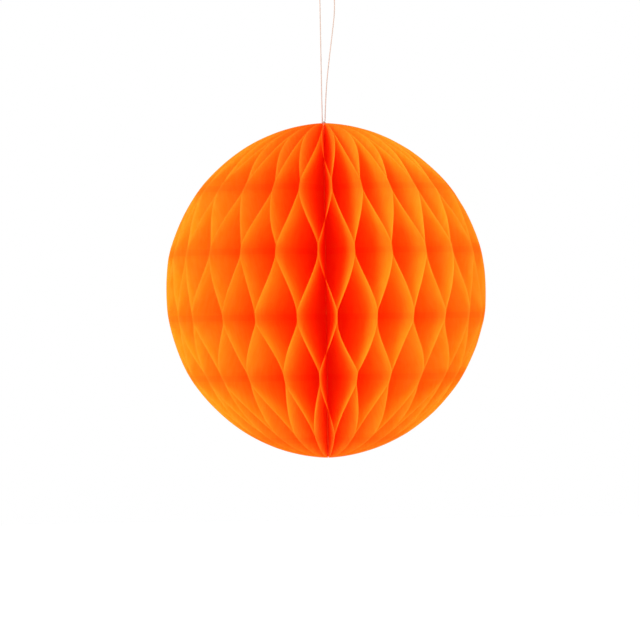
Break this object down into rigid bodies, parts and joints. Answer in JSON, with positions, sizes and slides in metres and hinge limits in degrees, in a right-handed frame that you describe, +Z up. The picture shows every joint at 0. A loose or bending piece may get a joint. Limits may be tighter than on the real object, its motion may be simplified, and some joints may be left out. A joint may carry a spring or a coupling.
{
  "type": "paper honeycomb ball",
  "caption": "Round hanging decoration of honeycomb tissue leaves that fan open about a bound spine, on a loop of thread.",
  "frame": {"origin": "inside the bight of the hanging thread, where the hook holds it, on the ball's axis", "axes": "+Z up along the bound spine the leaves turn about; +X to the right across the thread's loop, seen from the front; +Y towards the back, where the end cards meet"},
  "size_m": [0.0955, 0.0956, 0.1448],
  "materials": {
    "tissue": "matte",
    "card": "matte",
    "pad": "matte",
    "spine_thread": "matte",
    "thread": "satin"
  },
  "bodies": {
    "hanger": {"hanging_thread": "thread", "thread_knot": "thread"},
    "core": {"spine_thread": "spine_thread", "card_first": "card", "pad_upper": "pad", "pad_middle": "pad", "pad_lower": "pad"},
    "plane_01": {"leaf_01": "tissue"},
    "plane_02": {"leaf_02": "tissue"},
    "plane_03": {"leaf_03": "tissue"},
    "plane_04": {"leaf_04": "tissue"},
    "plane_05": {"leaf_05": "tissue"},
    "plane_06": {"leaf_06": "tissue"},
    "plane_07": {"leaf_07": "tissue"},
    "plane_08": {"leaf_08": "tissue"},
    "plane_09": {"leaf_09": "tissue"},
    "plane_10": {"leaf_10": "tissue"},
    "plane_11": {"leaf_11": "tissue"},
    "plane_12": {"leaf_12": "tissue"},
    "plane_13": {"leaf_13": "tissue"},
    "plane_14": {"leaf_14": "tissue"},
    "plane_15": {"leaf_15": "tissue"},
    "plane_16": {"leaf_16": "tissue"},
    "plane_17": {"leaf_17": "tissue"},
    "plane_18": {"leaf_18": "tissue"},
    "plane_19": {"leaf_19": "tissue"},
    "plane_20": {"leaf_20": "tissue"},
    "plane_21": {"leaf_21": "tissue"},
    "plane_22": {"leaf_22": "tissue"},
    "plane_23": {"leaf_23": "tissue"},
    "plane_24": {"leaf_24": "tissue"},
    "plane_25": {"leaf_25": "tissue"},
    "plane_26": {"leaf_26": "tissue"},
    "plane_27": {"leaf_27": "tissue"},
    "plane_28": {"leaf_28": "tissue"},
    "plane_29": {"leaf_29": "tissue"},
    "plane_30": {"leaf_30": "tissue"},
    "plane_31": {"leaf_31": "tissue"},
    "plane_32": {"leaf_32": "tissue"},
    "plane_33": {"leaf_33": "tissue"},
    "plane_34": {"leaf_34": "tissue"},
    "plane_35": {"leaf_35": "tissue"},
    "plane_36": {"leaf_36": "tissue"},
    "plane_37": {"leaf_37": "tissue"},
    "plane_38": {"leaf_38": "tissue"},
    "plane_39": {"leaf_39": "tissue"},
    "plane_40": {"leaf_40": "tissue"},
    "plane_41": {"leaf_41": "tissue"},
    "plane_42": {"leaf_42": "tissue"},
    "plane_43": {"leaf_43": "tissue"},
    "plane_44": {"leaf_44": "tissue"},
    "plane_45": {"leaf_45": "tissue"},
    "plane_46": {"leaf_46": "tissue"},
    "plane_47": {"leaf_47": "tissue"},
    "plane_48": {"leaf_48": "tissue"},
    "plane_49": {"leaf_49": "tissue"},
    "plane_50": {"leaf_50": "tissue", "card_last": "card"}
  },
  "joints": [
    {"name": "swivel", "type": "hinge", "parent": "hanger", "child": "core", "pos_m": [0, 0, -0.0447], "axis": [0, 0, 1], "continuous": true},
    {"name": "fold", "type": "hinge", "parent": "core", "child": "plane_01", "pos_m": [0, 0, -0.094], "axis": [0, 0, 1], "range_deg": [-6.9, 0], "deforming": ["leaf_01", "leaf_02", "leaf_03", "leaf_04", "leaf_05", "leaf_06", "leaf_07", "leaf_08", "leaf_09", "leaf_10", "leaf_11", "leaf_12", "leaf_13", "leaf_14", "leaf_15", "leaf_16", "leaf_17", "leaf_18", "leaf_19", "leaf_20", "leaf_21", "leaf_22", "leaf_23", "leaf_24", "leaf_25", "leaf_26", "leaf_27", "leaf_28", "leaf_29", "leaf_30", "leaf_31", "leaf_32", "leaf_33", "leaf_34", "leaf_35", "leaf_36", "leaf_37", "leaf_38", "leaf_39", "leaf_40", "leaf_41", "leaf_42", "leaf_43", "leaf_44", "leaf_45", "leaf_46", "leaf_47", "leaf_48", "leaf_49", "leaf_50"]},
    {"name": "fold_02", "type": "hinge", "parent": "plane_01", "child": "plane_02", "pos_m": [0, 0, -0.094], "axis": [0, 0, 1], "range_deg": [-6.9, 0]},
    {"name": "fold_03", "type": "hinge", "parent": "plane_02", "child": "plane_03", "pos_m": [0, 0, -0.094], "axis": [0, 0, 1], "range_deg": [-6.9, 0]},
    {"name": "fold_04", "type": "hinge", "parent": "plane_03", "child": "plane_04", "pos_m": [0, 0, -0.094], "axis": [0, 0, 1], "range_deg": [-6.9, 0]},
    {"name": "fold_05", "type": "hinge", "parent": "plane_04", "child": "plane_05", "pos_m": [0, 0, -0.094], "axis": [0, 0, 1], "range_deg": [-6.9, 0]},
    {"name": "fold_06", "type": "hinge", "parent": "plane_05", "child": "plane_06", "pos_m": [0, 0, -0.094], "axis": [0, 0, 1], "range_deg": [-6.9, 0]},
    {"name": "fold_07", "type": "hinge", "parent": "plane_06", "child": "plane_07", "pos_m": [0, 0, -0.094], "axis": [0, 0, 1], "range_deg": [-6.9, 0]},
    {"name": "fold_08", "type": "hinge", "parent": "plane_07", "child": "plane_08", "pos_m": [0, 0, -0.094], "axis": [0, 0, 1], "range_deg": [-6.9, 0]},
    {"name": "fold_09", "type": "hinge", "parent": "plane_08", "child": "plane_09", "pos_m": [0, 0, -0.094], "axis": [0, 0, 1], "range_deg": [-6.9, 0]},
    {"name": "fold_10", "type": "hinge", "parent": "plane_09", "child": "plane_10", "pos_m": [0, 0, -0.094], "axis": [0, 0, 1], "range_deg": [-6.9, 0]},
    {"name": "fold_11", "type": "hinge", "parent": "plane_10", "child": "plane_11", "pos_m": [0, 0, -0.094], "axis": [0, 0, 1], "range_deg": [-6.9, 0]},
    {"name": "fold_12", "type": "hinge", "parent": "plane_11", "child": "plane_12", "pos_m": [0, 0, -0.094], "axis": [0, 0, 1], "range_deg": [-6.9, 0]},
    {"name": "fold_13", "type": "hinge", "parent": "plane_12", "child": "plane_13", "pos_m": [0, 0, -0.094], "axis": [0, 0, 1], "range_deg": [-6.9, 0]},
    {"name": "fold_14", "type": "hinge", "parent": "plane_13", "child": "plane_14", "pos_m": [0, 0, -0.094], "axis": [0, 0, 1], "range_deg": [-6.9, 0]},
    {"name": "fold_15", "type": "hinge", "parent": "plane_14", "child": "plane_15", "pos_m": [0, 0, -0.094], "axis": [0, 0, 1], "range_deg": [-6.9, 0]},
    {"name": "fold_16", "type": "hinge", "parent": "plane_15", "child": "plane_16", "pos_m": [0, 0, -0.094], "axis": [0, 0, 1], "range_deg": [-6.9, 0]},
    {"name": "fold_17", "type": "hinge", "parent": "plane_16", "child": "plane_17", "pos_m": [0, 0, -0.094], "axis": [0, 0, 1], "range_deg": [-6.9, 0]},
    {"name": "fold_18", "type": "hinge", "parent": "plane_17", "child": "plane_18", "pos_m": [0, 0, -0.094], "axis": [0, 0, 1], "range_deg": [-6.9, 0]},
    {"name": "fold_19", "type": "hinge", "parent": "plane_18", "child": "plane_19", "pos_m": [0, 0, -0.094], "axis": [0, 0, 1], "range_deg": [-6.9, 0]},
    {"name": "fold_20", "type": "hinge", "parent": "plane_19", "child": "plane_20", "pos_m": [0, 0, -0.094], "axis": [0, 0, 1], "range_deg": [-6.9, 0]},
    {"name": "fold_21", "type": "hinge", "parent": "plane_20", "child": "plane_21", "pos_m": [0, 0, -0.094], "axis": [0, 0, 1], "range_deg": [-6.9, 0]},
    {"name": "fold_22", "type": "hinge", "parent": "plane_21", "child": "plane_22", "pos_m": [0, 0, -0.094], "axis": [0, 0, 1], "range_deg": [-6.9, 0]},
    {"name": "fold_23", "type": "hinge", "parent": "plane_22", "child": "plane_23", "pos_m": [0, 0, -0.094], "axis": [0, 0, 1], "range_deg": [-6.9, 0]},
    {"name": "fold_24", "type": "hinge", "parent": "plane_23", "child": "plane_24", "pos_m": [0, 0, -0.094], "axis": [0, 0, 1], "range_deg": [-6.9, 0]},
    {"name": "fold_25", "type": "hinge", "parent": "plane_24", "child": "plane_25", "pos_m": [0, 0, -0.094], "axis": [0, 0, 1], "range_deg": [-6.9, 0]},
    {"name": "fold_26", "type": "hinge", "parent": "plane_25", "child": "plane_26", "pos_m": [0, 0, -0.094], "axis": [0, 0, 1], "range_deg": [-6.9, 0]},
    {"name": "fold_27", "type": "hinge", "parent": "plane_26", "child": "plane_27", "pos_m": [0, 0, -0.094], "axis": [0, 0, 1], "range_deg": [-6.9, 0]},
    {"name": "fold_28", "type": "hinge", "parent": "plane_27", "child": "plane_28", "pos_m": [0, 0, -0.094], "axis": [0, 0, 1], "range_deg": [-6.9, 0]},
    {"name": "fold_29", "type": "hinge", "parent": "plane_28", "child": "plane_29", "pos_m": [0, 0, -0.094], "axis": [0, 0, 1], "range_deg": [-6.9, 0]},
    {"name": "fold_30", "type": "hinge", "parent": "plane_29", "child": "plane_30", "pos_m": [0, 0, -0.094], "axis": [0, 0, 1], "range_deg": [-6.9, 0]},
    {"name": "fold_31", "type": "hinge", "parent": "plane_30", "child": "plane_31", "pos_m": [0, 0, -0.094], "axis": [0, 0, 1], "range_deg": [-6.9, 0]},
    {"name": "fold_32", "type": "hinge", "parent": "plane_31", "child": "plane_32", "pos_m": [0, 0, -0.094], "axis": [0, 0, 1], "range_deg": [-6.9, 0]},
    {"name": "fold_33", "type": "hinge", "parent": "plane_32", "child": "plane_33", "pos_m": [0, 0, -0.094], "axis": [0, 0, 1], "range_deg": [-6.9, 0]},
    {"name": "fold_34", "type": "hinge", "parent": "plane_33", "child": "plane_34", "pos_m": [0, 0, -0.094], "axis": [0, 0, 1], "range_deg": [-6.9, 0]},
    {"name": "fold_35", "type": "hinge", "parent": "plane_34", "child": "plane_35", "pos_m": [0, 0, -0.094], "axis": [0, 0, 1], "range_deg": [-6.9, 0]},
    {"name": "fold_36", "type": "hinge", "parent": "plane_35", "child": "plane_36", "pos_m": [0, 0, -0.094], "axis": [0, 0, 1], "range_deg": [-6.9, 0]},
    {"name": "fold_37", "type": "hinge", "parent": "plane_36", "child": "plane_37", "pos_m": [0, 0, -0.094], "axis": [0, 0, 1], "range_deg": [-6.9, 0]},
    {"name": "fold_38", "type": "hinge", "parent": "plane_37", "child": "plane_38", "pos_m": [0, 0, -0.094], "axis": [0, 0, 1], "range_deg": [-6.9, 0]},
    {"name": "fold_39", "type": "hinge", "parent": "plane_38", "child": "plane_39", "pos_m": [0, 0, -0.094], "axis": [0, 0, 1], "range_deg": [-6.9, 0]},
    {"name": "fold_40", "type": "hinge", "parent": "plane_39", "child": "plane_40", "pos_m": [0, 0, -0.094], "axis": [0, 0, 1], "range_deg": [-6.9, 0]},
    {"name": "fold_41", "type": "hinge", "parent": "plane_40", "child": "plane_41", "pos_m": [0, 0, -0.094], "axis": [0, 0, 1], "range_deg": [-6.9, 0]},
    {"name": "fold_42", "type": "hinge", "parent": "plane_41", "child": "plane_42", "pos_m": [0, 0, -0.094], "axis": [0, 0, 1], "range_deg": [-6.9, 0]},
    {"name": "fold_43", "type": "hinge", "parent": "plane_42", "child": "plane_43", "pos_m": [0, 0, -0.094], "axis": [0, 0, 1], "range_deg": [-6.9, 0]},
    {"name": "fold_44", "type": "hinge", "parent": "plane_43", "child": "plane_44", "pos_m": [0, 0, -0.094], "axis": [0, 0, 1], "range_deg": [-6.9, 0]},
    {"name": "fold_45", "type": "hinge", "parent": "plane_44", "child": "plane_45", "pos_m": [0, 0, -0.094], "axis": [0, 0, 1], "range_deg": [-6.9, 0]},
    {"name": "fold_46", "type": "hinge", "parent": "plane_45", "child": "plane_46", "pos_m": [0, 0, -0.094], "axis": [0, 0, 1], "range_deg": [-6.9, 0]},
    {"name": "fold_47", "type": "hinge", "parent": "plane_46", "child": "plane_47", "pos_m": [0, 0, -0.094], "axis": [0, 0, 1], "range_deg": [-6.9, 0]},
    {"name": "fold_48", "type": "hinge", "parent": "plane_47", "child": "plane_48", "pos_m": [0, 0, -0.094], "axis": [0, 0, 1], "range_deg": [-6.9, 0]},
    {"name": "fold_49", "type": "hinge", "parent": "plane_48", "child": "plane_49", "pos_m": [0, 0, -0.094], "axis": [0, 0, 1], "range_deg": [-6.9, 0]},
    {"name": "fold_50", "type": "hinge", "parent": "plane_49", "child": "plane_50", "pos_m": [0, 0, -0.094], "axis": [0, 0, 1], "range_deg": [-6.9, 0]}
  ],
  "couplings": [
    {"joint": "fold_02", "follows": "fold", "ratio": 1},
    {"joint": "fold_03", "follows": "fold", "ratio": 1},
    {"joint": "fold_04", "follows": "fold", "ratio": 1},
    {"joint": "fold_05", "follows": "fold", "ratio": 1},
    {"joint": "fold_06", "follows": "fold", "ratio": 1},
    {"joint": "fold_07", "follows": "fold", "ratio": 1},
    {"joint": "fold_08", "follows": "fold", "ratio": 1},
    {"joint": "fold_09", "follows": "fold", "ratio": 1},
    {"joint": "fold_10", "follows": "fold", "ratio": 1},
    {"joint": "fold_11", "follows": "fold", "ratio": 1},
    {"joint": "fold_12", "follows": "fold", "ratio": 1},
    {"joint": "fold_13", "follows": "fold", "ratio": 1},
    {"joint": "fold_14", "follows": "fold", "ratio": 1},
    {"joint": "fold_15", "follows": "fold", "ratio": 1},
    {"joint": "fold_16", "follows": "fold", "ratio": 1},
    {"joint": "fold_17", "follows": "fold", "ratio": 1},
    {"joint": "fold_18", "follows": "fold", "ratio": 1},
    {"joint": "fold_19", "follows": "fold", "ratio": 1},
    {"joint": "fold_20", "follows": "fold", "ratio": 1},
    {"joint": "fold_21", "follows": "fold", "ratio": 1},
    {"joint": "fold_22", "follows": "fold", "ratio": 1},
    {"joint": "fold_23", "follows": "fold", "ratio": 1},
    {"joint": "fold_24", "follows": "fold", "ratio": 1},
    {"joint": "fold_25", "follows": "fold", "ratio": 1},
    {"joint": "fold_26", "follows": "fold", "ratio": 1},
    {"joint": "fold_27", "follows": "fold", "ratio": 1},
    {"joint": "fold_28", "follows": "fold", "ratio": 1},
    {"joint": "fold_29", "follows": "fold", "ratio": 1},
    {"joint": "fold_30", "follows": "fold", "ratio": 1},
    {"joint": "fold_31", "follows": "fold", "ratio": 1},
    {"joint": "fold_32", "follows": "fold", "ratio": 1},
    {"joint": "fold_33", "follows": "fold", "ratio": 1},
    {"joint": "fold_34", "follows": "fold", "ratio": 1},
    {"joint": "fold_35", "follows": "fold", "ratio": 1},
    {"joint": "fold_36", "follows": "fold", "ratio": 1},
    {"joint": "fold_37", "follows": "fold", "ratio": 1},
    {"joint": "fold_38", "follows": "fold", "ratio": 1},
    {"joint": "fold_39", "follows": "fold", "ratio": 1},
    {"joint": "fold_40", "follows": "fold", "ratio": 1},
    {"joint": "fold_41", "follows": "fold", "ratio": 1},
    {"joint": "fold_42", "follows": "fold", "ratio": 1},
    {"joint": "fold_43", "follows": "fold", "ratio": 1},
    {"joint": "fold_44", "follows": "fold", "ratio": 1},
    {"joint": "fold_45", "follows": "fold", "ratio": 1},
    {"joint": "fold_46", "follows": "fold", "ratio": 1},
    {"joint": "fold_47", "follows": "fold", "ratio": 1},
    {"joint": "fold_48", "follows": "fold", "ratio": 1},
    {"joint": "fold_49", "follows": "fold", "ratio": 1},
    {"joint": "fold_50", "follows": "fold", "ratio": 1}
  ]
}
